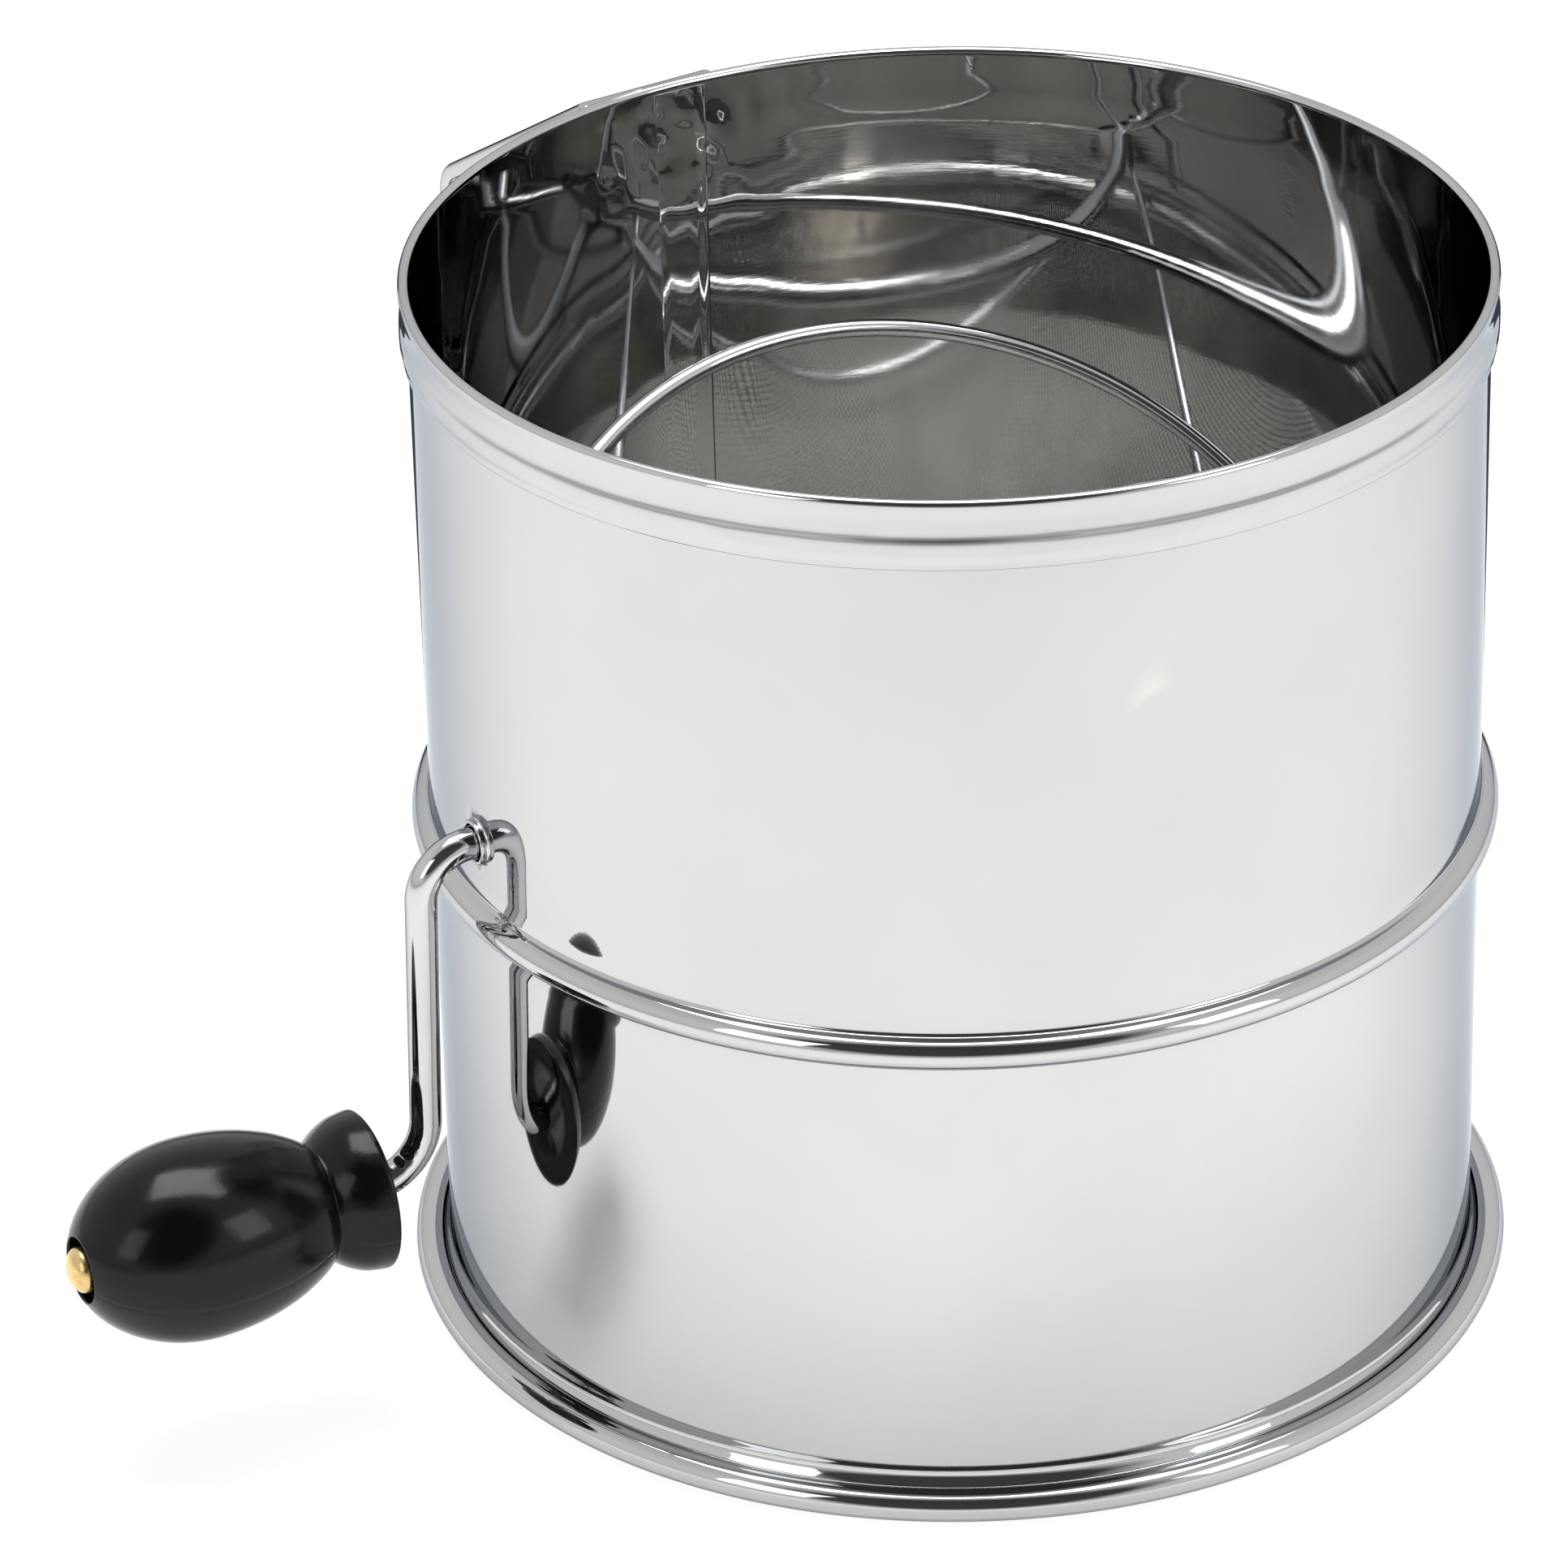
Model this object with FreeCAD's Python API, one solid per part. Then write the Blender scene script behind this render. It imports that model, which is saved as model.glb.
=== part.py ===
import FreeCAD, Part
import math
import os

# Flour sifter. Millimetres. +Z is up, the body stands on the plane z = 0 and is centred on
# the Z axis. The crank shaft lies along X and the crank is on the -X side; the strap handle
# is on the +Y side.

V = FreeCAD.Vector
UP = V(0, 0, 1)
ALONG_SHAFT = V(1, 0, 0)

# Body tube
BODY_OUTER_R = 82.55          # 6 1/2 in across
BODY_HEIGHT = 171.8           # 6 3/4 in high
SHEET = 0.7
BODY_INNER_R = BODY_OUTER_R - SHEET

# Rolled foot: the sheet curls outward round a wire
FOOT_CENTRE_R = 85.7
FOOT_ROLL_R = 2.5
FOOT_CURL = 223.0             # degrees of roll beyond the flat underside
FOOT_FLAT = 0.8
FOOT_INNER_CORNER_R = 1.7
FOOT_STRAIGHT = 0.8
FOOT_FLARE_HEIGHT = 4.3
FOOT_WIRE_R = 1.7

# Bead at mid height, and the screen parts that follow it
BEAD_BOTTOM = 77.55
BEAD_CREST_R = 2.6            # radius of the bead's outer rounding
BEAD_FILLET_R = 0.8
BEAD_TURN = 79.9              # degrees from the wall to the tangent where the curves meet

# Folded hem at the mouth
HEM_FOLD_R = 0.9
# Down the folded flap: sideways shift, length of the shift, straight stretch after it
HEM_FLAP = ((-0.3, 2.6, 1.6), (0.4, 2.2, 1.2), (-0.35, 1.8, 0.5))

# Lap seam inside the body, on the handle side
SEAM_WIDTH = 9.0
SEAM_THICKNESS = 0.35
SEAM_AZIMUTH = 92.5
SEAM_BOTTOM = 87.0
SEAM_TOP = 169.5

# Mesh bowl and the ring that traps its edge
MESH_THICKNESS = 0.6
MESH_COLLAR_R = 81.2
MESH_SPHERE_R = 87.6
MESH_BOTTOM = 20.5
MESH_SHOULDER_R = 6.0
MESH_TOP = 85.6
BAND_INNER_R = 80.65
BAND_THICKNESS = 0.5
BAND_BOTTOM = 76.9
BAND_TOP = 86.0

# Shaft, crank and the holes they turn in
SHAFT_Z = 93.5
ROD_R = 2.5
SHAFT_HOLE_R = 2.95
COLLAR_BASE_R = 4.45
COLLAR_RIM_R = 3.6
COLLAR_FACE = 83.7            # distance of the collar's rim from the Z axis
COLLAR_ROOT = 82.0
COLLAR_NECK = 0.4             # straight stretch between the rim and the flare
CRANK_ARM_X = 92.35
CRANK_THROW = 57.8
CRANK_UPPER_BEND_R = 8.0
CRANK_LOWER_BEND_R = 10.0
CRANK_REST_ANGLE = 3.5        # degrees about +X from hanging straight down
ROD_TIP_X = 150.6

WASHER_INNER_FACE = 84.1
WASHER_THICKNESS = 1.0
WASHER_R = 6.0
PEEN_R = 3.4
PEEN_HEIGHT = 1.3
PEEN_EDGE = 0.4

# Agitator
ARCH_R = 69.7
ARCH_WIRE_R = 1.45
ARCH_ANGLES = (52.3, 142.3, 232.3, 322.3)   # from straight up, turning towards the handle

# Knob, measured along its own axis from the flange face
KNOB_FACE_X = 102.5
KNOB_BORE_R = 2.6
KNOB_FLANGE = ((0.0, 12.75), (3.4, 12.3), (5.9, 11.2), (7.8, 9.8), (8.6, 9.4))
KNOB_EGG_CENTRE = 29.0
KNOB_EGG_R = 15.8
KNOB_EGG_REAR = 25.4
KNOB_EGG_FRONT = 20.26
KNOB_RECESS_R = 5.26
KNOB_RECESS_FLOOR = 44.3
CAP_R = 3.67
CAP_BASE = 44.5
CAP_WAIST = 47.9
CAP_APEX = 50.0

# Strap handle
STRAP_AZIMUTH = 95.5          # degrees from +X
STRAP_WIDTH = 25.0
STRAP_THICKNESS = 1.2
STRAP_EDGE_DEPTH = 2.7
STRAP_EDGE_THICKNESS = 1.0
STRAP_TAB_R = 83.9
STRAP_TAB_BOTTOM = 154.0
STRAP_TOP_BEND_R = 2.5
STRAP_TOP_BEND = 121.0        # degrees turned from the upright tab into the sloping leg
STRAP_TAB_LENGTH = 13.6
STRAP_LEG = 49.6
STRAP_CORNER_R = 7.0
STRAP_GRIP = 54.0
STRAP_LOWER_CORNER_R = 7.0
STRAP_LOWER_BEND_R = 4.0
STRAP_LOWER_TURN = 59.0
STRAP_LOWER_TAB = 13.0
STRAP_WELD_GAP = 0.05


def run(length):
    """A straight stretch of sheet."""
    return [("run", length)]


def bend(radius, degrees):
    """A bend of the walked side: positive turns left, negative turns right."""
    return [("bend", radius, degrees)]


def jog(shift, length):
    """Two equal and opposite bends that carry the sheet sideways, positive to the left."""
    turn = 2 * math.atan2(abs(shift), length)
    radius = length / (2 * math.sin(turn))
    degrees = math.copysign(math.degrees(turn), shift)
    return bend(radius, degrees) + bend(radius, -degrees)


def bead(offset):
    """Moves that follow the bead on a line `offset` inside the body's outer face."""
    fillet = BEAD_FILLET_R + offset
    crest = BEAD_CREST_R - offset
    return bend(fillet, -BEAD_TURN) + bend(crest, 2 * BEAD_TURN) + bend(fillet, -BEAD_TURN)


def right_of(heading):
    """Unit vector to the right of a heading in the XZ plane."""
    return V(math.sin(heading), 0, -math.cos(heading))


def side_of_sheet(start, heading, moves, depth):
    """Edges of the line that lies `depth` to the right of the walked side, and its end."""
    point = V(start[0], 0, start[1])
    angle = math.radians(heading)
    edges = []
    for move in moves:
        if move[0] == "run":
            ahead = V(math.cos(angle), 0, math.sin(angle)) * move[1]
            shift = right_of(angle) * depth
            edges.append(Part.makeLine(point + shift, point + ahead + shift))
            point = point + ahead
            continue
        radius, turn = move[1], math.radians(move[2])
        side = math.copysign(1, turn)
        centre = point - right_of(angle) * side * radius
        reach = side * (radius + side * depth)
        stops = [centre + right_of(angle + part * turn) * reach for part in (0, 0.5, 1)]
        edges.append(Part.Arc(*stops).toShape())
        angle += turn
        point = centre + right_of(angle) * side * radius
    return edges, point, angle


def bent_sheet(start, heading, moves, thickness):
    """Face of a bent sheet in the XZ plane; the thickness lies right of the walked side."""
    near, near_end, angle = side_of_sheet(start, heading, moves, 0)
    far, _, _ = side_of_sheet(start, heading, moves, thickness)
    first = V(start[0], 0, start[1])
    first_cap = Part.makeLine(first, first + right_of(math.radians(heading)) * thickness)
    last_cap = Part.makeLine(near_end, near_end + right_of(angle) * thickness)
    wire = Part.Wire(Part.__sortEdges__(near + [last_cap] + far + [first_cap]))
    return Part.Face(wire)


def turned(face, base=V(0, 0, 0), axis=UP):
    """Solid of revolution from a face."""
    return face.revolve(base, axis, 360)


def closed_face(edges):
    return Part.Face(Part.Wire(Part.__sortEdges__(edges)))


def rod(path_edges, radius):
    """Round rod swept along a smooth path."""
    path = Part.Wire(path_edges)
    first = path_edges[0]
    start = first.valueAt(first.FirstParameter)
    heading = first.tangentAt(first.FirstParameter)
    section = Part.Wire(Part.makeCircle(radius, start, heading))
    return path.makePipeShell([section], True, False)


def about_shaft(shape, degrees):
    """Copy of a shape turned right-handed about the shaft axis."""
    turned_copy = shape.copy()
    turned_copy.rotate(V(0, 0, SHAFT_Z), ALONG_SHAFT, degrees)
    return turned_copy


def shaft_collar(side):
    """Drawn collar round one shaft hole; side is -1 or 1 along X."""
    rim = (COLLAR_RIM_R - SHAFT_HOLE_R) / 2
    shoulder = COLLAR_FACE - rim

    def at(distance, radius):
        return V(side * distance, 0, SHAFT_Z + radius)

    flare = COLLAR_BASE_R - COLLAR_RIM_R
    wall = shoulder - COLLAR_NECK - flare
    lean = flare * (1 - math.sqrt(0.5))
    edges = [
        Part.makeLine(at(COLLAR_ROOT, SHAFT_HOLE_R), at(shoulder, SHAFT_HOLE_R)),
        Part.Arc(at(shoulder, SHAFT_HOLE_R), at(COLLAR_FACE, SHAFT_HOLE_R + rim),
                 at(shoulder, COLLAR_RIM_R)).toShape(),
        Part.makeLine(at(shoulder, COLLAR_RIM_R), at(wall + flare, COLLAR_RIM_R)),
        Part.Arc(at(wall + flare, COLLAR_RIM_R), at(wall + lean, COLLAR_RIM_R + lean),
                 at(wall, COLLAR_BASE_R)).toShape(),
        Part.makeLine(at(wall, COLLAR_BASE_R), at(COLLAR_ROOT, COLLAR_BASE_R)),
        Part.makeLine(at(COLLAR_ROOT, COLLAR_BASE_R), at(COLLAR_ROOT, SHAFT_HOLE_R)),
    ]
    return turned(closed_face(edges), V(0, 0, SHAFT_Z), ALONG_SHAFT)


def lap_seam():
    """Overlapping strip of sheet that runs down the inside of the body."""
    span = math.degrees(SEAM_WIDTH / BODY_INNER_R)
    height = SEAM_TOP - SEAM_BOTTOM
    outer = Part.makeCylinder(BODY_INNER_R + SHEET / 2, height, V(0, 0, SEAM_BOTTOM), UP, span)
    inner = Part.makeCylinder(BODY_INNER_R - SEAM_THICKNESS, height, V(0, 0, SEAM_BOTTOM))
    strip = outer.cut(inner)
    strip.rotate(V(0, 0, 0), UP, SEAM_AZIMUTH - span / 2)
    return strip


def body_shell():
    """The tube with its curled foot, bead, hem, lap seam and shaft holes."""
    curl = math.radians(FOOT_CURL - 180)
    free_edge = (FOOT_CENTRE_R - FOOT_ROLL_R * math.sin(curl),
                 FOOT_ROLL_R + FOOT_ROLL_R * math.cos(curl))
    foot_inner_r = FOOT_CENTRE_R - FOOT_FLAT - FOOT_INNER_CORNER_R
    foot_top = FOOT_INNER_CORNER_R + FOOT_STRAIGHT + FOOT_FLARE_HEIGHT
    bead_top = BEAD_BOTTOM + bead_height()
    moves = bend(FOOT_ROLL_R, -FOOT_CURL)
    moves += run(FOOT_FLAT)
    moves += bend(FOOT_INNER_CORNER_R, -90)
    moves += run(FOOT_STRAIGHT)
    moves += jog(foot_inner_r - BODY_INNER_R, FOOT_FLARE_HEIGHT)
    moves += run(BEAD_BOTTOM - foot_top)
    moves += bead(SHEET)
    moves += run(BODY_HEIGHT - HEM_FOLD_R - bead_top)
    moves += bend(HEM_FOLD_R, -180)
    for shift, length, straight in HEM_FLAP:
        moves += jog(shift, length) + run(straight)
    shell = turned(bent_sheet(free_edge, math.degrees(curl), moves, SHEET))
    shell = shell.fuse([shaft_collar(-1), shaft_collar(1), lap_seam()])
    reach = COLLAR_FACE + 1
    drill = Part.makeCylinder(SHAFT_HOLE_R, 2 * reach, V(-reach, 0, SHAFT_Z), ALONG_SHAFT)
    return shell.cut(drill).removeSplitter()


def bead_height():
    """Length of wall that the bead takes up."""
    return 2 * (BEAD_CREST_R + BEAD_FILLET_R) * math.sin(math.radians(BEAD_TURN))


def base_wire():
    """Hoop of wire inside the curled foot."""
    return Part.makeTorus(FOOT_CENTRE_R, FOOT_WIRE_R, V(0, 0, FOOT_ROLL_R))


def mesh_bowl():
    """Round-bottomed screen with an upright collar that follows the bead."""
    shoulder_from_axis = MESH_COLLAR_R - MESH_SHOULDER_R
    sphere_z = MESH_BOTTOM + MESH_SPHERE_R
    cap_angle = math.asin(shoulder_from_axis / (MESH_SPHERE_R - MESH_SHOULDER_R))
    shoulder_z = sphere_z - (MESH_SPHERE_R - MESH_SHOULDER_R) * math.cos(cap_angle)
    cap_turn = math.degrees(cap_angle)
    moves = bend(MESH_SPHERE_R, cap_turn)
    moves += bend(MESH_SHOULDER_R, 90 - cap_turn)
    moves += run(BEAD_BOTTOM - shoulder_z)
    moves += bead(BODY_OUTER_R - MESH_COLLAR_R)
    moves += run(MESH_TOP - BEAD_BOTTOM - bead_height())
    return turned(bent_sheet((0, MESH_BOTTOM), 0, moves, MESH_THICKNESS))


def screen_band():
    """Ring pressed into the bead over the edge of the screen."""
    moves = run(BEAD_BOTTOM - BAND_BOTTOM)
    moves += bead(BODY_OUTER_R - BAND_INNER_R)
    moves += run(BAND_TOP - BEAD_BOTTOM - bead_height())
    return turned(bent_sheet((BAND_INNER_R, BAND_BOTTOM), 90, moves, BAND_THICKNESS))


def bent_strip(moves, start, depth, width):
    """Strip of sheet across the handle, centred on the handle's middle plane."""
    face = bent_sheet(start, 90, moves, depth)
    strip = face.extrude(V(0, -width, 0))
    strip.translate(V(0, width / 2, 0))
    return strip


def strap_handle():
    """Flat strap bent to a grip, with its two long edges folded inward."""
    upper = run(STRAP_TAB_LENGTH) + bend(STRAP_TOP_BEND_R, -STRAP_TOP_BEND)
    loop = run(STRAP_LEG)
    loop += bend(STRAP_CORNER_R, STRAP_TOP_BEND - 180)
    loop += run(STRAP_GRIP)
    loop += bend(STRAP_LOWER_CORNER_R, -STRAP_LOWER_TURN)
    loop += run(lower_leg_length())
    lower = bend(STRAP_LOWER_BEND_R, STRAP_LOWER_TURN) + run(STRAP_LOWER_TAB)
    start = (STRAP_TAB_R, STRAP_TAB_BOTTOM)
    strap = bent_strip(upper + loop + lower, start, STRAP_THICKNESS, STRAP_WIDTH)
    _, leg_start, leg_heading = side_of_sheet(start, 90, upper, 0)
    edge_face = bent_sheet((leg_start.x, leg_start.z), math.degrees(leg_heading), loop,
                           STRAP_EDGE_DEPTH)
    edges = []
    for side in (-1, 1):
        fold = edge_face.extrude(V(0, STRAP_EDGE_THICKNESS, 0))
        inner = STRAP_WIDTH / 2 - STRAP_EDGE_THICKNESS
        fold.translate(V(0, inner if side > 0 else -STRAP_WIDTH / 2, 0))
        edges.append(fold)
    strap = strap.fuse(edges).removeSplitter()
    strap.rotate(V(0, 0, 0), UP, STRAP_AZIMUTH)
    return strap


def lower_leg_length():
    """Length of the lower leg that brings the strap back to the wall."""
    slope = math.radians(STRAP_TOP_BEND - 90)
    out = STRAP_TOP_BEND_R * (1 + math.sin(slope))
    out += STRAP_LEG * math.cos(slope)
    out += STRAP_CORNER_R * (1 - math.sin(slope))
    lower = math.radians(STRAP_LOWER_TURN)
    rounded = (STRAP_LOWER_CORNER_R + STRAP_LOWER_BEND_R) * (1 - math.cos(lower))
    back = STRAP_TAB_R + out - BODY_OUTER_R - STRAP_THICKNESS - STRAP_WELD_GAP
    return (back - rounded) / math.sin(lower)


def crank_rod():
    """Shaft, crank arm and knob spindle bent from one rod, with its far end peened."""
    far_end = WASHER_INNER_FACE + WASHER_THICKNESS
    arm = -CRANK_ARM_X
    upper, lower = CRANK_UPPER_BEND_R, CRANK_LOWER_BEND_R
    bottom = SHAFT_Z - CRANK_THROW
    half = math.sqrt(0.5)
    points = [
        V(far_end, 0, SHAFT_Z),
        V(arm + upper, 0, SHAFT_Z),
        V(arm + upper - upper * half, 0, SHAFT_Z - upper + upper * half),
        V(arm, 0, SHAFT_Z - upper),
        V(arm, 0, bottom + lower),
        V(arm - lower + lower * half, 0, bottom + lower - lower * half),
        V(arm - lower, 0, bottom),
        V(-ROD_TIP_X, 0, bottom),
    ]
    path = [
        Part.makeLine(points[0], points[1]),
        Part.Arc(points[1], points[2], points[3]).toShape(),
        Part.makeLine(points[3], points[4]),
        Part.Arc(points[4], points[5], points[6]).toShape(),
        Part.makeLine(points[6], points[7]),
    ]
    bent_rod = rod(path, ROD_R)
    dome = domed_disc(PEEN_R, PEEN_EDGE, PEEN_HEIGHT)
    dome.rotate(V(0, 0, 0), V(0, 1, 0), 90)
    dome.translate(V(far_end, 0, SHAFT_Z))
    return about_shaft(bent_rod.fuse(dome).removeSplitter(), CRANK_REST_ANGLE)


def domed_disc(radius, straight, height):
    """Disc on the XY plane with a domed top."""
    edges = [
        Part.makeLine(V(0, 0, 0), V(radius, 0, 0)),
        Part.makeLine(V(radius, 0, 0), V(radius, 0, straight)),
        dome_arc(radius, straight, height),
        Part.makeLine(V(0, 0, height), V(0, 0, 0)),
    ]
    return turned(closed_face(edges))


def dome_arc(radius, base, apex):
    """Arc in the XZ plane from a rim to the apex on the axis."""
    rise = apex - base
    sphere = (radius ** 2 + rise ** 2) / (2 * rise)
    middle = radius / 2
    mid_z = apex - sphere + math.sqrt(sphere ** 2 - middle ** 2)
    return Part.Arc(V(radius, 0, base), V(middle, 0, mid_z), V(0, 0, apex)).toShape()


def shaft_end_washer():
    outer = Part.makeCylinder(WASHER_R, WASHER_THICKNESS,
                              V(WASHER_INNER_FACE, 0, SHAFT_Z), ALONG_SHAFT)
    bore = Part.makeCylinder(ROD_R, WASHER_THICKNESS,
                             V(WASHER_INNER_FACE, 0, SHAFT_Z), ALONG_SHAFT)
    return outer.cut(bore)


def agitator_arch(angle):
    """Half hoop of wire that ends on the shaft, leaning `angle` from straight up."""
    centre = V(0, 0, SHAFT_Z)
    top = centre + UP * ARCH_R
    arc = Part.Arc(centre - ALONG_SHAFT * ARCH_R, top, centre + ALONG_SHAFT * ARCH_R)
    wire = rod([arc.toShape()], ARCH_WIRE_R)
    shaft_half = ARCH_R + 2 * ROD_R
    shaft = Part.makeCylinder(ROD_R, 2 * shaft_half, centre - ALONG_SHAFT * shaft_half,
                              ALONG_SHAFT)
    return about_shaft(wire.cut(shaft), -angle)


def turned_on_spindle(edges):
    """Solid turned about the knob axis from edges drawn as (x = radius, z = distance)."""
    solid = turned(closed_face(edges))
    solid.rotate(V(0, 0, 0), V(0, 1, 0), -90)
    solid.translate(V(-KNOB_FACE_X, 0, SHAFT_Z - CRANK_THROW))
    return about_shaft(solid, CRANK_REST_ANGLE)


def quarter_ellipse(radius, semi_axis, centre, from_radius, steps=6):
    """Curve from a given radius round to the widest point; semi_axis carries its sign."""
    start = math.acos(from_radius / radius)
    points = []
    for step in range(steps + 1):
        angle = start * (1 - step / steps)
        points.append(V(radius * math.cos(angle), 0, centre + semi_axis * math.sin(angle)))
    curve = Part.BSplineCurve()
    curve.interpolate(points)
    return curve.toShape(), points[0]


def knob():
    """Turned knob: flange, neck, egg-shaped grip and a recess for the cap."""
    flange = [V(radius, 0, along) for along, radius in KNOB_FLANGE]
    neck = flange[-1]
    rear, rear_start = quarter_ellipse(KNOB_EGG_R, -KNOB_EGG_REAR, KNOB_EGG_CENTRE, neck.x)
    front, front_start = quarter_ellipse(KNOB_EGG_R, KNOB_EGG_FRONT, KNOB_EGG_CENTRE,
                                         KNOB_RECESS_R)
    shoulder = Part.BSplineCurve()
    shoulder.interpolate(flange[1:])
    edges = [
        Part.makeLine(V(KNOB_BORE_R, 0, 0), flange[0]),
        Part.makeLine(flange[0], flange[1]),
        shoulder.toShape(),
        Part.makeLine(neck, rear_start),
        rear,
        front,
        Part.makeLine(front_start, V(KNOB_RECESS_R, 0, KNOB_RECESS_FLOOR)),
        Part.makeLine(V(KNOB_RECESS_R, 0, KNOB_RECESS_FLOOR),
                      V(KNOB_BORE_R, 0, KNOB_RECESS_FLOOR)),
        Part.makeLine(V(KNOB_BORE_R, 0, KNOB_RECESS_FLOOR), V(KNOB_BORE_R, 0, 0)),
    ]
    return turned_on_spindle(edges)


def knob_cap():
    """Domed cap on the end of the spindle that keeps the knob on."""
    edges = [
        Part.makeLine(V(ROD_R, 0, CAP_BASE), V(CAP_R, 0, CAP_BASE)),
        Part.makeLine(V(CAP_R, 0, CAP_BASE), V(CAP_R, 0, CAP_WAIST)),
        dome_arc(CAP_R, CAP_WAIST, CAP_APEX),
        Part.makeLine(V(0, 0, CAP_APEX), V(0, 0, ROD_TIP_X - KNOB_FACE_X)),
        Part.makeLine(V(0, 0, ROD_TIP_X - KNOB_FACE_X), V(ROD_R, 0, ROD_TIP_X - KNOB_FACE_X)),
        Part.makeLine(V(ROD_R, 0, ROD_TIP_X - KNOB_FACE_X), V(ROD_R, 0, CAP_BASE)),
    ]
    return turned_on_spindle(edges)


def main():
    os.makedirs("parts", exist_ok=True)
    parts = {
        "body_shell": body_shell(),
        "base_wire": base_wire(),
        "mesh_bowl": mesh_bowl(),
        "screen_band": screen_band(),
        "strap_handle": strap_handle(),
        "crank_rod": crank_rod(),
        "shaft_end_washer": shaft_end_washer(),
        "knob": knob(),
        "knob_cap": knob_cap(),
    }
    for number, angle in enumerate(ARCH_ANGLES, 1):
        parts[f"agitator_wire_{number}"] = agitator_arch(angle)
    for name, shape in parts.items():
        shape.exportStep(f"parts/{name}.step")


main()
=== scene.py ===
import math

import bmesh
import bpy
from mathutils import Matrix, Vector, noise


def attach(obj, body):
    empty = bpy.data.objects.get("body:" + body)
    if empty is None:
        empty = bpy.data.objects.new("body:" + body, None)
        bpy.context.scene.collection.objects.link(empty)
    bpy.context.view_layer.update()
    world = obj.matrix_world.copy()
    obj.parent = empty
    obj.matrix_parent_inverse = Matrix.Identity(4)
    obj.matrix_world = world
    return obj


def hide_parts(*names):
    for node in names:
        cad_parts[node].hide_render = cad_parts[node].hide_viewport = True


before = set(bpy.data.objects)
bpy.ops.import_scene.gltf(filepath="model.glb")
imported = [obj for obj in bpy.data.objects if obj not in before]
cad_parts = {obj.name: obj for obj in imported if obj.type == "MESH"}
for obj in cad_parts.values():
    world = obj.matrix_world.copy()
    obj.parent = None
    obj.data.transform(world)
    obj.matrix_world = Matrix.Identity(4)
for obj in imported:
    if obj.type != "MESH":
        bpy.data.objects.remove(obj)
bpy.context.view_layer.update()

MM = 0.001
TAU = 2 * math.pi

# The sifter's own dimensions, in millimetres, as in the CAD model. Angles are in degrees.

# Body tube
BODY_OUTER_R = 82.55
BODY_HEIGHT = 171.8
SHEET = 0.7
BODY_INNER_R = BODY_OUTER_R - SHEET
BODY_SEGMENTS = 400

# Rolled foot and the flare above it
FOOT_CENTRE_R = 85.7
FOOT_ROLL_R = 2.5
FOOT_CURL = 223.0             # degrees of roll beyond the flat underside
FOOT_FLAT = 0.8
FOOT_CORNER_R = 1.7
FOOT_STRAIGHT = 0.8
FLARE_INNER_R = 83.2
FLARE_HEIGHT = 4.3
FLARE_TOP = FOOT_CORNER_R + FOOT_STRAIGHT + FLARE_HEIGHT

# Bead at mid height; the wall swells out a little beside it
BEAD_BOTTOM = 77.55
BEAD_CREST_R = 2.6
BEAD_FILLET_R = 0.8
BEAD_TURN = 79.9
BEAD_RISE = 2.4
BEAD_RISE_STEPS = 6
BEAD_SWELL = 0.12

# Folded hem: sideways shift, length of the shift, straight stretch after it
HEM_FOLD_R = 0.9
HEM_FLAP = ((-0.3, 2.6, 1.6), (0.4, 2.2, 1.2), (-0.35, 1.8, 0.5))
HEM_EDGE_Z = 161.0

# Lap seam inside the body: (distance across it, thickness) from the crisp edge outward
SEAM_AZIMUTH = 92.5
SEAM_BOTTOM = 86.0
SEAM_TOP = 170.4
SEAM_ROWS = 56
SEAM_FADE = 4.0
SEAM_ROOT = 0.35
SEAM_SECTION = ((-3.6, 0.0), (-3.55, 0.22), (-3.4, 0.33), (-3.1, 0.35), (-2.4, 0.33), (-1.9, 0.24),
                (-1.5, 0.26), (0.0, 0.2), (2.0, 0.12), (3.6, 0.06), (5.0, 0.02), (5.4, -0.05))

# Ring that traps the screen
BAND_INNER_R = 80.65
BAND_THICKNESS = 0.5
BAND_BOTTOM = 76.9
BAND_TOP = 86.0

# Middle line of the screen bowl, and its weave
BOWL_BOTTOM = 20.2
BOWL_SPHERE_R = 87.9
BOWL_SHOULDER_R = 6.3
BOWL_COLLAR_R = 81.5
BOWL_TOP = 77.3
WIRE_PITCH = 1.25
WIRE_R = 0.14
WIRE_SIDES = 4
WEAVE_TURN = math.radians(38)

# Shaft holes with their drawn collars; heights are distances from the Z axis
SHAFT_Z = 93.5
SHAFT_HOLE_R = 2.95
SHAFT_DRILL_R = 3.7
COLLAR_ROOT = 82.0
COLLAR_NECK = 82.95
COLLAR_FACE = 83.7
COLLAR_RIM_R = 3.6
COLLAR_BASE_R = 4.45
COLLAR_FOOT_R = 4.7

# Crank rod, its end washer and riveted head
ROD_R = 2.5
SHAFT_END_X = 85.0
CRANK_ARM_X = 92.35
CRANK_THROW = 57.8
CRANK_REST_ANGLE = 3.5
CRANK_UPPER_BEND_R = 8.0
CRANK_LOWER_BEND_R = 10.0
CRUSHED_SIDE = math.radians(112)
ROD_TIP_X = 150.6
PEEN_R = 3.4
PEEN_EDGE_X = 85.5
PEEN_DOME = 0.9
WASHER_SECTION = ((2.5, 84.1), (5.75, 84.1), (5.95, 84.2), (6.0, 84.35), (6.0, 84.85), (5.95, 85.0),
                  (5.75, 85.1), (2.5, 85.1))

# Agitator
ARCH_R = 69.7
ARCH_WIRE_R = 1.45
ARCH_ANGLES = (52.3, 142.3, 232.3, 322.3)   # from straight up, turning towards the handle

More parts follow.
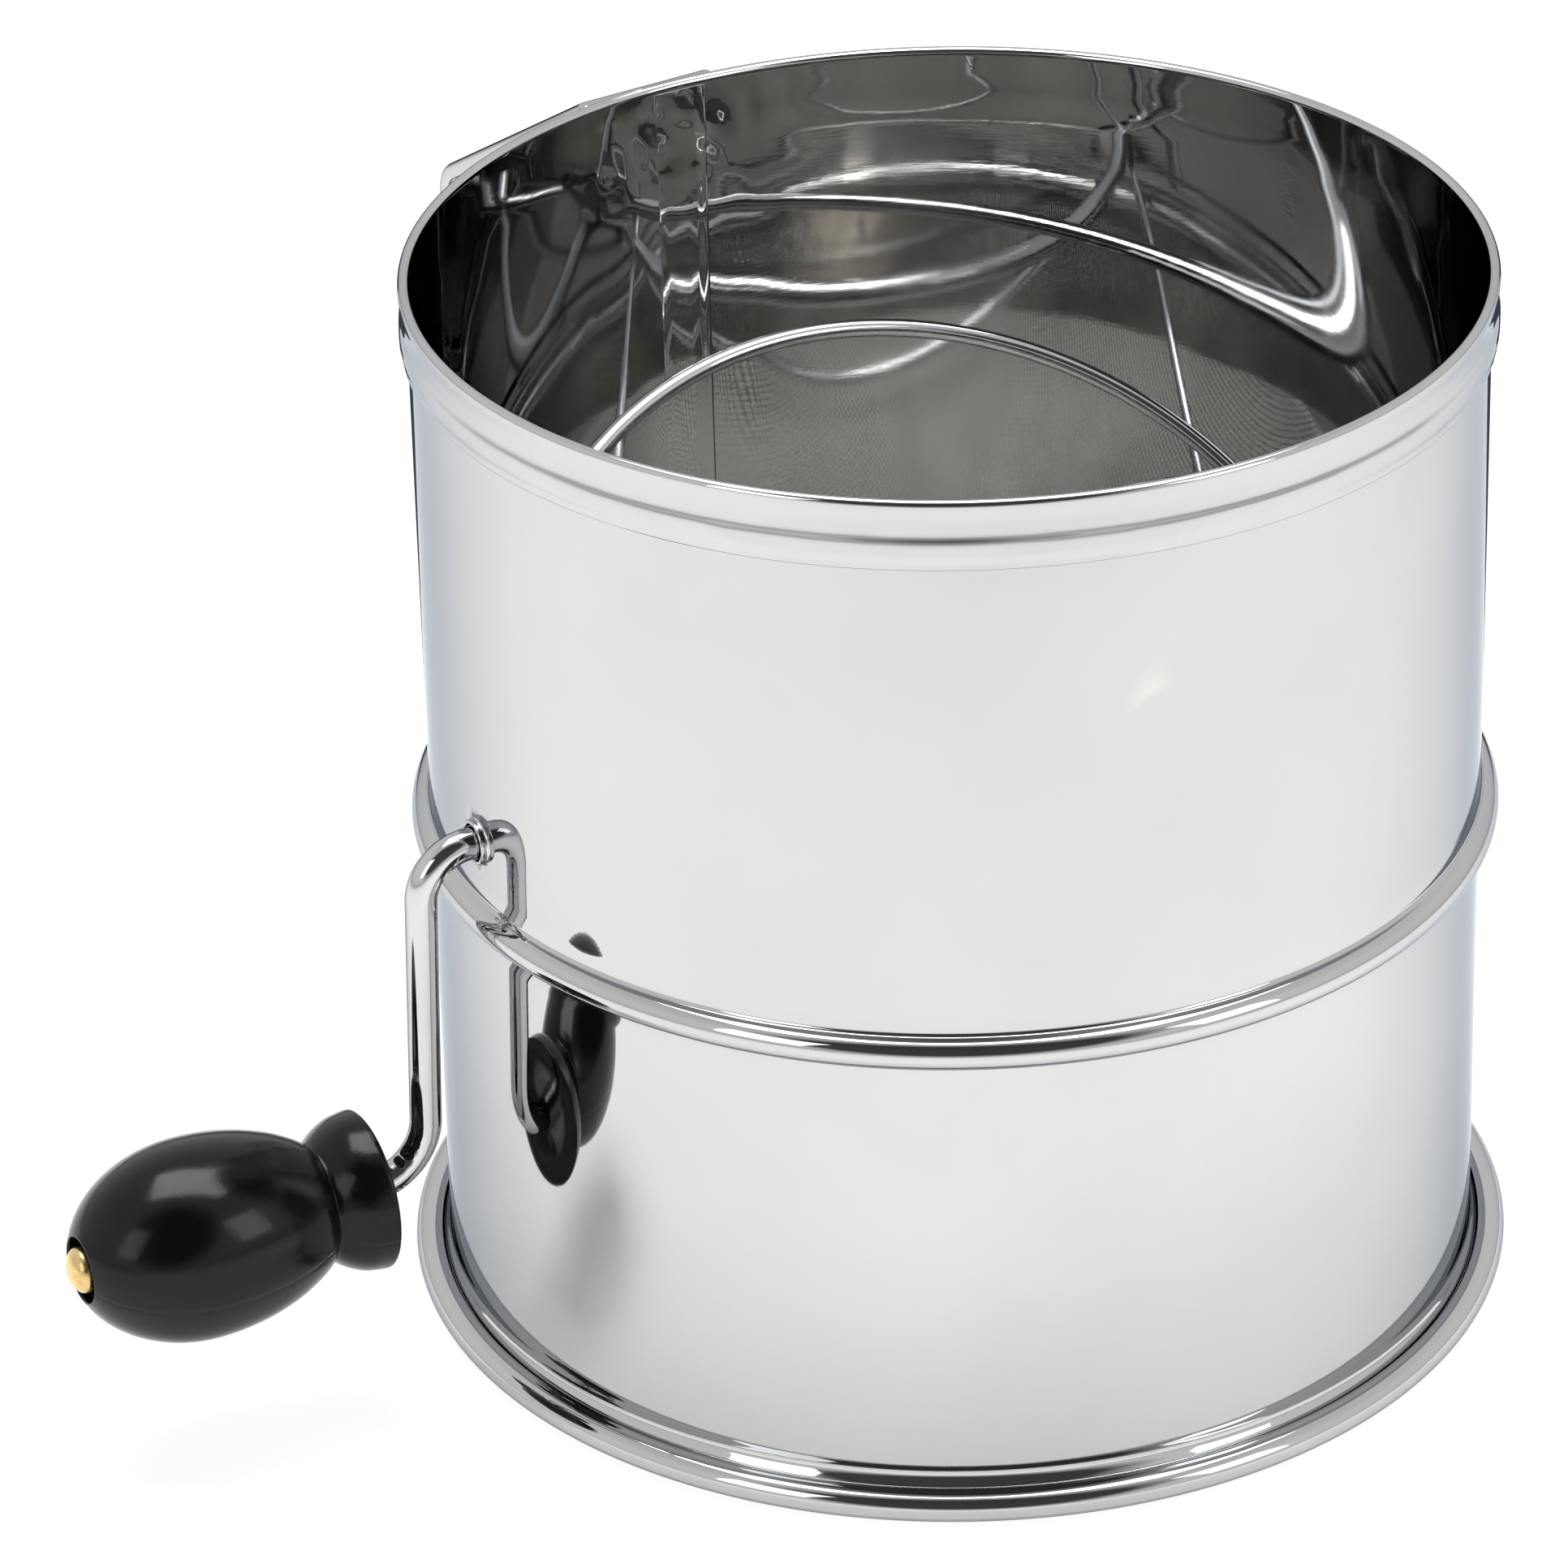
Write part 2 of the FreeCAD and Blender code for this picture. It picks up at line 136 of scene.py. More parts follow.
# Knob and cap, as (radius, distance from the flange face)
KNOB_FACE_X = 102.5
KNOB_BORE_R = 2.6
KNOB_FLANGE = ((12.3, 0.0), (12.58, 0.06), (12.72, 0.2), (12.75, 0.45), (12.7, 1.0), (12.52, 2.2),
               (12.36, 3.1), (12.18, 3.75), (11.8, 4.7), (11.2, 5.85), (10.5, 6.9), (9.95, 7.6),
               (9.55, 8.15), (9.38, 8.6), (9.36, 8.85))
KNOB_NECK_R = 9.4
KNOB_EGG_R = 15.8
KNOB_EGG_CENTRE = 29.0
KNOB_EGG_REAR = 25.4
KNOB_EGG_FRONT = 20.26
KNOB_MOUTH_R = 5.62
KNOB_RECESS = ((5.26, 47.4), (5.26, 45.2), (5.15, 44.5), (4.9, 44.3))
PARTING_ANGLE = math.radians(79)
CAP_R = 3.67
CAP_SHOULDER = 47.75
CAP_DOME = 2.25

# Strap handle
STRAP_AZIMUTH = 95.5
STRAP_WIDTH = 25.0
STRAP_THICKNESS = 1.2
STRAP_EDGE_DEPTH = 2.7
STRAP_EDGE_THICKNESS = 1.0
STRAP_ROUNDING = 1.1
STRAP_TAB_R = 83.9
STRAP_TAB_BOTTOM = 154.0
STRAP_TAB_LENGTH = 13.6
STRAP_TOP_BEND_R = 2.5
STRAP_TOP_BEND = 121.0
STRAP_LEG = 49.6
STRAP_CORNER_R = 7.0
STRAP_GRIP = 54.0
STRAP_LOWER_BEND_R = 4.0
STRAP_LOWER_TURN = 59.0
STRAP_LOWER_TAB = 13.0
STRAP_WELD_GAP = 0.05

# Studio, in metres
FLOOR_HALF = 6.0
FLOOR_Z = -0.00005
FLOOR_GLOW = 0.34
AHEAD = (0.476, 0.880, 0)     # level direction away from the camera
BESIDE = (0.880, -0.476, 0)
BOX_TARGET = (0, 0, 0.08)
SPOT_PLACE = (-0.2, 0.98, 0.89)
SPOT_TARGET = (-0.01, 0.0, 0.1718)
DARK_PATCH = (-0.375, -0.693, 0.616)
CAMERA_AZIMUTH = math.radians(-28.4)
CAMERA_ELEVATION = math.radians(28.27)
CAMERA_ROLL = math.radians(-0.69)
CAMERA_DISTANCE = 1.1631
CAMERA_TARGET = (0, 0, 0.0859)
CAMERA_LENS = 169.8
CAMERA_SHIFT = (-0.1089, -0.0171)


# ---------------------------------------------------------------- shapes

def add_piece(name, mesh_data, material, body, replaced):
    """Puts a mesh in the scene in place of CAD nodes, which it hides, and lets it ride on a body.
    """
    piece = bpy.data.objects.new(name, mesh_data)
    bpy.context.scene.collection.objects.link(piece)
    mesh_data.materials.append(material)
    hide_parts(*replaced)
    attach(piece, body)
    return piece


def mesh_from(name, points, faces):
    """Smooth mesh from points in millimetres, with its faces turned outward."""
    data = bpy.data.meshes.new(name)
    data.from_pydata([(x * MM, y * MM, z * MM) for x, y, z in points], [], faces)
    work = bmesh.new()
    work.from_mesh(data)
    bmesh.ops.remove_doubles(work, verts=work.verts, dist=1e-7)
    bmesh.ops.recalc_face_normals(work, faces=work.faces)
    work.to_mesh(data)
    work.free()
    data.polygons.foreach_set("use_smooth", [True] * len(data.polygons))
    return data


def grid_faces(rows, columns, close_rows, close_columns):
    """Quads between neighbouring rows and columns of points laid out row by row."""
    faces = []
    for row in range(rows if close_rows else rows - 1):
        for column in range(columns if close_columns else columns - 1):
            following, beside = (row + 1) % rows, (column + 1) % columns
            faces.append((row * columns + column, row * columns + beside,
                          following * columns + beside, following * columns + column))
    return faces


def right_of(heading):
    """Unit vector to the right of a heading."""
    return Vector((math.sin(heading), -math.cos(heading)))


def run(length):
    """Straight move."""
    return [("run", length)]


def bend(radius, degrees):
    """Curved move, to the left when degrees is positive."""
    return [("bend", radius, degrees)]


def jog(shift, length):
    """Two opposite bends that shift the line sideways over a length."""
    turn = 2 * math.atan2(abs(shift), length)
    radius = length / (2 * math.sin(turn))
    degrees = math.copysign(math.degrees(turn), shift)
    return bend(radius, degrees) + bend(radius, -degrees)


def bead_moves(offset):
    """The bead as walked on a surface that lies inside the outer one by the offset."""
    fillet = BEAD_FILLET_R + offset
    crest = BEAD_CREST_R - offset
    return bend(fillet, -BEAD_TURN) + bend(crest, 2 * BEAD_TURN) + bend(fillet, -BEAD_TURN)


def bead_height():
    """Height of the bead's curve from one end to the other."""
    return 2 * (BEAD_CREST_R + BEAD_FILLET_R) * math.sin(math.radians(BEAD_TURN))


def walk(start, heading, moves, stride=3.0, arc_step=9.0):
    """Places and headings along a bent line, closer together at the ends of straight runs."""
    place, angle = Vector(start), math.radians(heading)
    stops = [(place.copy(), angle)]
    for move in moves:
        if move[0] == "run":
            length = move[1]
            ahead = Vector((math.cos(angle), math.sin(angle)))
            margin = min(0.3, length / 3)
            count = max(1, math.ceil((length - 2 * margin) / stride))
            marks = [margin + (length - 2 * margin) * k / count for k in range(count + 1)]
            for mark in marks + [length]:
                stops.append((place + ahead * mark, angle))
            place = place + ahead * length
            continue
        radius, turn = move[1], math.radians(move[2])
        side = math.copysign(1, turn)
        centre = place - right_of(angle) * side * radius
        count = max(2, math.ceil(abs(move[2]) / arc_step))
        for k in range(1, count + 1):
            facing = angle + turn * k / count
            stops.append((centre + right_of(facing) * side * radius, facing))
        angle += turn
        place = centre + right_of(angle) * side * radius
    return stops


def sheet_outline(stops, thickness):
    """Closed outline of a sheet: the walked side, a rounded edge, the far side, and back."""
    near = [place for place, _ in stops]
    far = [place + right_of(angle) * thickness for place, angle in stops]

    def rounded(end, other, outward):
        middle = (end + other) / 2
        reach = outward * thickness * 0.35
        return [end.lerp(other, 0.15) + reach * 0.7, middle + reach,
                end.lerp(other, 0.85) + reach * 0.7]

    last = Vector((math.cos(stops[-1][1]), math.sin(stops[-1][1])))
    first = Vector((math.cos(stops[0][1]), math.sin(stops[0][1])))
    return near + rounded(near[-1], far[-1], last) + far[::-1] + rounded(far[0], near[0], -first)


def lathe(name, outline, segments, closed, shift=None):
    """Turns an outline of (radius, height) about Z; shift moves a point in or out, in mm."""
    points = []
    for step in range(segments):
        angle = TAU * step / segments
        for index, (radius, height) in enumerate(outline):
            if shift:
                radius += shift(index, angle, height)
            points.append((radius * math.cos(angle), radius * math.sin(angle), height))
    return mesh_from(name, points, grid_faces(segments, len(outline), True, closed))


def tube(name, path, radius_at, sides):
    """Round tube along a path of points; radius_at(distance walked, angle) gives its radius."""
    path = [Vector(p) for p in path]
    lengths = distances_along([(place, None) for place in path])
    tangents = []
    for index in range(len(path)):
        before, after = path[max(index - 1, 0)], path[min(index + 1, len(path) - 1)]
        tangents.append((after - before).normalized())
    across = tangents[0].orthogonal().normalized()
    points = []
    for index, centre in enumerate(path):
        across = (across - tangents[index] * across.dot(tangents[index])).normalized()
        other = tangents[index].cross(across)
        for side in range(sides):
            angle = TAU * side / sides
            radius = radius_at(lengths[index], angle)
            points.append(centre + (across * math.cos(angle) + other * math.sin(angle)) * radius)
    faces = grid_faces(len(path), sides, False, True)
    last = (len(path) - 1) * sides
    faces.append(tuple(range(sides))[::-1])
    faces.append(tuple(last + side for side in range(sides)))
    return mesh_from(name, [tuple(p) for p in points], faces)


def about_shaft(degrees):
    """Matrix that turns a shape about the shaft axis, right-handed about +X."""
    centre = Vector((0, 0, SHAFT_Z * MM))
    return (Matrix.Translation(centre) @ Matrix.Rotation(math.radians(degrees), 4, "X")
            @ Matrix.Translation(-centre))


def about_shaft_axis(side=1):
    """Matrix that takes a shape turned about Z to the shaft axis, on the +X or -X side."""
    return (Matrix.Translation((0, 0, SHAFT_Z * MM))
            @ Matrix.Rotation(math.radians(90 * side), 4, "Y"))


def straight(start, end, steps):
    """Even steps along a line between (across, up) pairs, without the first."""
    return [(start[0] + (end[0] - start[0]) * step / steps,
             start[1] + (end[1] - start[1]) * step / steps) for step in range(1, steps + 1)]


def arc(centre, radii, first, last, steps):
    """(across, up) pairs round an arc or ellipse between two angles, without the first."""
    angles = [math.radians(first + (last - first) * step / steps) for step in range(1, steps + 1)]
    return [(centre[0] + radii[0] * math.cos(angle), centre[1] + radii[1] * math.sin(angle))
            for angle in angles]


def distances_along(stops):
    """Distance walked at each stop."""
    walked = [0.0]
    for (before, _), (after, _) in zip(stops, stops[1:]):
        walked.append(walked[-1] + (after - before).length)
    return walked


def bump_at(distance, width):
    """1 at no distance, dying out over the width."""
    return math.exp(-(distance / width) ** 2)


def share(distance, length):
    """0 up to no distance, 1 from the length on."""
    return min(1.0, max(0.0, distance / length))


def round_z(angle):
    """Unit vector at an angle about Z; noise sampled along it closes on itself."""
    return Vector((math.cos(angle), math.sin(angle), 0))


# ---------------------------------------------------------------- materials

class Nodes:
    """Short names for building a node tree on one kind of coordinates."""

    def __init__(self, tree, coordinates):
        self.tree = tree
        self.place = self.add("ShaderNodeTexCoord").outputs[coordinates]

    def add(self, kind, **settings):
        node = self.tree.nodes.new(kind)
        for key, value in settings.items():
            setattr(node, key, value)
        return node

    def link(self, source, target):
        self.tree.links.new(source, target)

    def stretched(self, scale):
        mapping = self.add("ShaderNodeMapping")
        mapping.inputs["Scale"].default_value = scale
        self.link(self.place, mapping.inputs["Vector"])
        return mapping.outputs["Vector"]

    def noise(self, scale, detail=3.0, rough=0.5, vector=None, distortion=0.0):
        node = self.add("ShaderNodeTexNoise")
        node.inputs["Scale"].default_value = scale
        node.inputs["Detail"].default_value = detail
        node.inputs["Roughness"].default_value = rough
        node.inputs["Distortion"].default_value = distortion
        self.link(vector or self.place, node.inputs["Vector"])
        return node.outputs["Fac"]

    def ramp(self, source, stops):
        """Colours, or grey levels given as single numbers, along a source value."""
        node = self.add("ShaderNodeValToRGB")
        elements = node.color_ramp.elements
        while len(elements) < len(stops):
            elements.new(0.5)
        for element, (position, colour) in zip(elements, stops):
            element.position = position
            element.color = (*colour, 1) if isinstance(colour, tuple) else (colour,) * 3 + (1,)
        self.link(source, node.inputs["Fac"])
        return node.outputs["Color"]

    def spread(self, source, low, high, from_low=0.3, from_high=0.7):
        node = self.add("ShaderNodeMapRange")
        node.inputs["From Min"].default_value = from_low
        node.inputs["From Max"].default_value = from_high
        node.inputs["To Min"].default_value = low
        node.inputs["To Max"].default_value = high
        self.link(source, node.inputs["Value"])
        return node.outputs["Result"]

    def calc(self, first, second, operation="ADD"):
        node = self.add("ShaderNodeMath", operation=operation)
        for socket, value in zip(node.inputs, (first, second)):
            if isinstance(value, float):
                socket.default_value = value
            else:
                self.link(value, socket)
        return node.outputs["Value"]

    def product(self, first, second):
        return self.calc(first, second, "MULTIPLY")

    def measure(self, operation, direction=(0, 0, 0)):
        node = self.add("ShaderNodeVectorMath", operation=operation)
        node.inputs[1].default_value = direction
        self.link(self.place, node.inputs[0])
        return node.outputs["Value"]

    def mix_colour(self, factor, first, second, blend="MIX"):
        node = self.add("ShaderNodeMixRGB", blend_type=blend)
        for socket, value in zip(node.inputs, (factor, first, second)):
            if isinstance(value, (float, tuple)):
                socket.default_value = value
            else:
                self.link(value, socket)
        return node.outputs["Color"]

    def mix_shader(self, factor, first, second):
        node = self.add("ShaderNodeMixShader")
        for socket, value in zip(node.inputs, (factor, first, second)):
            self.link(value, socket)
        return node.outputs["Shader"]


class Finish(Nodes):
    """Material on object coordinates, built round its Principled shader."""

    def __init__(self, name):
        self.material = bpy.data.materials.new(name)
        self.material.use_nodes = True
        super().__init__(self.material.node_tree, "Object")
        self.shader = self.tree.nodes["Principled BSDF"]

    def feed(self, source, name):
        self.link(source, self.shader.inputs[name])

    def bump(self, source, strength, distance):
        node = self.add("ShaderNodeBump")
        node.inputs["Strength"].default_value = strength
        node.inputs["Distance"].default_value = distance
        self.link(source, node.inputs["Height"])
        self.feed(node.outputs["Normal"], "Normal")

    def set(self, **values):
        for key, value in values.items():
            self.shader.inputs[key.replace("_", " ")].default_value = value


def polished_steel(name, light, dark, rough_low, rough_high, edge):
    """Bright sheet or rod steel: faint clouding, polishing marks and a darker grazing edge."""
    n = Finish(name)
    n.set(Metallic=1.0, Specular_Tint=(*edge, 1))
    clouds = n.noise(22, 4, 0.55)
    n.feed(n.ramp(clouds, [(0.3, dark), (0.7, light)]), "Base Color")
    smears = n.noise(45, 5, 0.6, n.stretched((1, 1, 0.35)), 0.4)
    n.feed(n.spread(smears, rough_low, rough_high, 0.35, 0.7), "Roughness")
    marks = n.noise(900, 2, 0.5, n.stretched((0.25, 0.25, 2.5)))
    n.bump(marks, 0.05, 0.00002)
    return n.material


def wire_cloth():
    """Drawn steel wire, slightly dull and uneven in tone."""
    n = Finish("wire_cloth_steel")
    n.set(Metallic=1.0)
    tone = n.noise(60, 3)
    n.feed(n.ramp(tone, [(0.3, (0.20, 0.195, 0.183)), (0.7, (0.34, 0.331, 0.311))]), "Base Color")
    n.feed(n.spread(n.noise(400, 2), 0.12, 0.24), "Roughness")
    n.bump(n.noise(2500, 2), 0.15, 0.00003)
    return n.material


def black_moulding():
    """Glossy black plastic with faint flow marks, dust and light scuffs."""
    n = Finish("black_moulded_plastic")
    n.set(IOR=1.5, Specular_IOR_Level=0.27)
    tone = n.noise(30, 3)
    n.feed(n.ramp(tone, [(0.35, (0.003, 0.003, 0.0035)), (0.75, (0.007, 0.007, 0.008))]),
           "Base Color")
    scuffs = n.noise(110, 6, 0.7, n.stretched((0.5, 1.0, 1.0)), 0.8)
    n.feed(n.spread(scuffs, 0.15, 0.28, 0.45, 0.78), "Roughness")
    skin = n.calc(n.noise(160, 2), n.noise(1200, 2))
    n.bump(skin, 0.06, 0.0002)
    return n.material


def cap_brass():
    """Satin brass with a finely pitted skin."""
    n = Finish("satin_brass")
    n.set(Metallic=1.0)
    tone = n.noise(400, 4, 0.6)
    n.feed(n.ramp(tone, [(0.3, (0.62, 0.42, 0.16)), (0.7, (0.90, 0.70, 0.36))]), "Base Color")
    n.feed(n.spread(n.noise(900, 3), 0.18, 0.36), "Roughness")
    n.bump(n.noise(1500, 3), 0.2, 0.0001)
    return n.material


def studio_floor():
    """Pale floor, nearly white to the camera, without glow under the sifter, and with painted shade
    in a wedge behind it that only reflected rays see.
    """
    n = Finish("studio_floor")
    n.set(Roughness=0.9, Emission_Color=(1, 1, 1, 1))
    direct = n.add("ShaderNodeLightPath").outputs["Is Camera Ray"]
    mirrored = n.calc(1.0, direct, "SUBTRACT")
    outside = n.spread(n.measure("LENGTH"), 0.0, 1.0, 0.0805, 0.0835)

    # Painted shade: a dark wedge on the floor behind the sifter, seen only by reflected rays,
    # stands in for the sifter's shadow there.
    ahead = n.measure("DOT_PRODUCT", AHEAD)
    beside = n.calc(n.measure("DOT_PRODUCT", BESIDE), 0.0, "ABSOLUTE")
    inside_wedge = n.spread(n.calc(n.product(ahead, 0.65), beside, "SUBTRACT"),
                            0.0, 1.0, 0.0115, 0.0195)
    beyond_edge = n.spread(ahead, 0.0, 1.0, 0.145, 0.155)
    painted_shade = n.product(n.product(inside_wedge, beyond_edge), mirrored)

    pale = n.ramp(n.noise(3, 2), [(0.3, 0.90), (0.7, 0.93)])
    n.feed(n.mix_colour(painted_shade, pale, (0.03, 0.04, 0.06, 1)), "Base Color")
    lit = n.calc(1.0, painted_shade, "SUBTRACT")
    n.feed(n.product(n.product(outside, FLOOR_GLOW), lit), "Emission Strength")

    white = n.add("ShaderNodeEmission")
    white.inputs["Strength"].default_value = 1.1
    whitened = n.product(n.product(direct, 0.72), outside)
    surface = n.mix_shader(whitened, n.shader.outputs["BSDF"], white.outputs["Emission"])
    n.link(surface, n.tree.nodes["Material Output"].inputs["Surface"])
    return n.material


sheet_steel = polished_steel("polished_sheet_steel", (0.61, 0.61, 0.605), (0.57, 0.57, 0.57),
                             0.015, 0.06, (0.52, 0.56, 0.62))
rod_steel = polished_steel("bright_rod_steel", (0.66, 0.66, 0.67), (0.56, 0.57, 0.58),
                           0.03, 0.09, (0.28, 0.31, 0.36))
mesh_steel = wire_cloth()
knob_black = black_moulding()
brass = cap_brass()


# ---------------------------------------------------------------- body

def weld_marks(angle, height):
    """Puckers and three dimples where the strap handle is spot-welded to the wall, in mm."""
    beside = (angle - math.radians(STRAP_AZIMUTH)) * BODY_INNER_R
    near_weld = bump_at(beside, 15) * bump_at(height - 161, 9)
    shift = 0.32 * near_weld * noise.noise(Vector((beside / 5.0, height / 5.0, 2.5)))
    for weld_beside, weld_height in ((-9.0, 162.5), (3.2, 161.5), (9.0, 159.0)):
        distance = math.hypot(beside - weld_beside, height - weld_height)
        shift -= 0.26 * bump_at(distance, 2.3) - 0.13 * bump_at(distance - 4.2, 1.6)
    return shift


def wall_shift(angle, height):
    """How far the sheet wall stands off its true circle, in mm."""
    slow = noise.noise(round_z(angle) * 1.6 + Vector((0, 0, height / 70)))
    quick = noise.noise(round_z(angle) * 4.5 + Vector((3, 1, height / 30)))
    upper = share(height - BAND_TOP, 12) * share(BODY_HEIGHT - 4 - height, 10)
    lower = share(75 - height, 12) * share(height - 8, 12)
    shift = (0.10 * slow + 0.035 * quick) * (upper + lower)
    shift -= 0.10 * bump_at(height - HEM_EDGE_Z, 2.4)
    shift += weld_marks(angle, height)
    beyond_bead = max(BEAD_BOTTOM - height, height - BEAD_BOTTOM - bead_height(), 0.0)
    shift += BEAD_SWELL * max(0.0, 1 - beyond_bead / BEAD_RISE) ** 2
    if height > BAND_TOP:
        seam = (angle - math.radians(SEAM_AZIMUTH)) * BODY_INNER_R
        shift += 0.16 * bump_at(seam - 9, 6) - 0.12 * bump_at(seam + 9, 6)
    return shift


def body_outline():
    """Outline of the sheet from the foot roll up to the hem, and where the hem flap begins."""
    curl = math.radians(FOOT_CURL - 180)
    start = (FOOT_CENTRE_R - FOOT_ROLL_R * math.sin(curl),
             FOOT_ROLL_R + FOOT_ROLL_R * math.cos(curl))
    near_bead = run(BEAD_RISE / BEAD_RISE_STEPS) * BEAD_RISE_STEPS
    moves = bend(FOOT_ROLL_R, -FOOT_CURL) + run(FOOT_FLAT)
    moves += bend(FOOT_CORNER_R, -90) + run(FOOT_STRAIGHT)
    moves += jog(FLARE_INNER_R - BODY_INNER_R, FLARE_HEIGHT)
    moves += run(BEAD_BOTTOM - FLARE_TOP - BEAD_RISE)
    moves += near_bead + bead_moves(SHEET) + near_bead
    moves += run(BODY_HEIGHT - HEM_FOLD_R - BEAD_BOTTOM - bead_height() - BEAD_RISE)
    moves += bend(HEM_FOLD_R, -180)
    for shift, length, straight_part in HEM_FLAP:
        moves += jog(shift, length) + run(straight_part)
    stops = walk(start, math.degrees(curl), moves)
    fold = BODY_HEIGHT - HEM_FOLD_R - 0.01
    flap_from = next(index for index, (place, angle) in enumerate(stops)
                     if place.y > fold and math.cos(angle) > 0.99)
    return sheet_outline(stops, SHEET), flap_from


def drill_shaft_holes(piece):
    """Cuts both shaft holes through a piece."""
    drill_path = [(-95, 0, SHAFT_Z), (95, 0, SHAFT_Z)]
    drill_data = tube("drill", drill_path, lambda walked, angle: SHAFT_DRILL_R, 48)
    drill = bpy.data.objects.new("drill", drill_data)
    bpy.context.scene.collection.objects.link(drill)
    cut = piece.modifiers.new("shaft_holes", "BOOLEAN")
    cut.operation, cut.solver, cut.object = "DIFFERENCE", "EXACT", drill
    view = bpy.context.evaluated_depsgraph_get()
    holed = bpy.data.meshes.new_from_object(piece.evaluated_get(view))
    piece.modifiers.clear()
    piece.data = holed
    holed.name = piece.name
    bpy.data.objects.remove(drill)


def build_body():
    outline, flap_from = body_outline()
    far_flap_end = len(outline) - 4 - flap_from

    def shift(index, angle, height):
        """The folded flap keeps its own shape and only ripples a little."""
        if not flap_from <= index <= far_flap_end:
            return wall_shift(angle, height)
        ripple = noise.noise(round_z(angle) * 14 + Vector((0, 0, height / 3.5)))
        crease = noise.noise(round_z(angle) * 46 + Vector((0, 0, height / 1.6)))
        below_fold = share(BODY_HEIGHT - 2 - height, 4)
        return (0.07 * below_fold * ripple
                + 0.05 * bump_at(height - HEM_EDGE_Z - 0.8, 1.6) * crease)

    data = lathe("body_shell_skin", outline, BODY_SEGMENTS, True, shift)
    piece = add_piece("body_shell_skin", data, sheet_steel, "sifter",
                      ["body_shell"])
    drill_shaft_holes(piece)


def build_collar(side):
    """Drawn collar round a shaft hole, turned about the shaft axis."""
    lip = (COLLAR_RIM_R - SHAFT_HOLE_R) / 2
    lip_centre = (SHAFT_HOLE_R + lip, COLLAR_FACE - lip)
    flare = COLLAR_BASE_R - COLLAR_RIM_R
    profile = [(SHAFT_HOLE_R, COLLAR_ROOT), (SHAFT_HOLE_R, COLLAR_FACE - 0.5),
               (SHAFT_HOLE_R, lip_centre[1])]
    profile += arc(lip_centre, (lip, lip), 180, 0, 8)
    profile.append((COLLAR_RIM_R, COLLAR_NECK))
    profile += arc((COLLAR_BASE_R, COLLAR_NECK), (flare, flare * 0.72), 180, 270, 8)[:-1]
    profile += [(COLLAR_FOOT_R, COLLAR_ROOT + 0.33), (COLLAR_FOOT_R, COLLAR_ROOT)]
    data = lathe("collar", profile, 96, True)
    data.transform(about_shaft_axis(side))
    name = "shaft_collar_crank_side" if side < 0 else "shaft_collar_far_side"
    add_piece(name, data, sheet_steel, "sifter", ["body_shell"])


def build_seam():
    """Inner lap of the sheet: one crisp edge, the other side running out into the wall."""
    step = (SEAM_TOP - SEAM_BOTTOM) / SEAM_ROWS
    heights = [SEAM_BOTTOM + step * row for row in range(SEAM_ROWS)] + [SEAM_TOP - 0.04, SEAM_TOP]
    points = []

    def add_point(beside, height, radius, wander):
        angle = math.radians(SEAM_AZIMUTH) + (beside + wander) / BODY_INNER_R
        points.append((radius * math.cos(angle), radius * math.sin(angle), height))

    for height in heights:
        fade = share(SEAM_TOP - height, SEAM_FADE)
        wander = 0.12 * noise.noise(Vector((0, 7, height / 9)))
        for beside, thick in SEAM_SECTION:
            wall = wall_shift(math.radians(SEAM_AZIMUTH) + beside / BODY_INNER_R, height)
            add_point(beside, height, BODY_INNER_R + wall - thick * fade - 0.03, wander)
        for beside, _ in (SEAM_SECTION[-1], SEAM_SECTION[0]):
            add_point(beside, height, BODY_INNER_R + SEAM_ROOT, 0.0)
    columns = len(SEAM_SECTION) + 2
    faces = grid_faces(len(heights), columns, False, True)
    faces.append(tuple(range(columns)))
    last = (len(heights) - 1) * columns
    faces.append(tuple(last + column for column in range(columns))[::-1])
    data = mesh_from("lap_seam", points, faces)
    add_piece("lap_seam", data, sheet_steel, "sifter", ["body_shell"])


def build_band():
    moves = run(BEAD_BOTTOM - BAND_BOTTOM) + bead_moves(BODY_OUTER_R - BAND_INNER_R)
    moves += run(BAND_TOP - BEAD_BOTTOM - bead_height())
    stops = walk((BAND_INNER_R, BAND_BOTTOM), 90, moves)

    def shift(index, angle, height):
        return 0.04 * noise.noise(round_z(angle) * 6 + Vector((0, 0, height / 5)))

    data = lathe("screen_band_ring", sheet_outline(stops, BAND_THICKNESS), 360, True, shift)
    add_piece("screen_band_ring", data, sheet_steel, "sifter", ["screen_band"])


# ---------------------------------------------------------------- woven screen

def bowl_moves():
    """Spherical bottom, tight shoulder and upright collar of the screen's middle line."""
    sphere, shoulder = BOWL_SPHERE_R, BOWL_SHOULDER_R
    cap = math.asin((BOWL_COLLAR_R - shoulder) / (sphere - shoulder))
    shoulder_top = BOWL_BOTTOM + sphere - (sphere - shoulder) * math.cos(cap)
    return (bend(sphere, math.degrees(cap)) + bend(shoulder, 90 - math.degrees(cap))
            + run(BOWL_TOP - shoulder_top))


def bowl_profile():
    """Middle line of the screen as (distance walked, radius, height, slope)."""
    stops = walk((0.0, BOWL_BOTTOM), 0, bowl_moves(), 1.0, 1.0)
    return [(walked, place.x, place.y, angle)
            for walked, (place, angle) in zip(distances_along(stops), stops)]


def on_bowl(table, u, v, lift):
    """Point of the drawn cloth for a place on the flat cloth, lifted off the middle line."""
    walked = min(math.hypot(u, v), table[-1][0])
    low, high = 0, len(table) - 1
    while high - low > 1:
        middle = (low + high) // 2
        if table[middle][0] <= walked:
            low = middle
        else:
            high = middle
    first, second = table[low], table[high]
    part = (walked - first[0]) / max(second[0] - first[0], 1e-9)
    radius, height, slope = [start + (end - start) * part
                             for start, end in zip(first[1:], second[1:])]
    radius -= lift * math.sin(slope)
    height += lift * math.cos(slope)
    angle = math.atan2(v, u)
    return Vector((radius * math.cos(angle), radius * math.sin(angle), height))


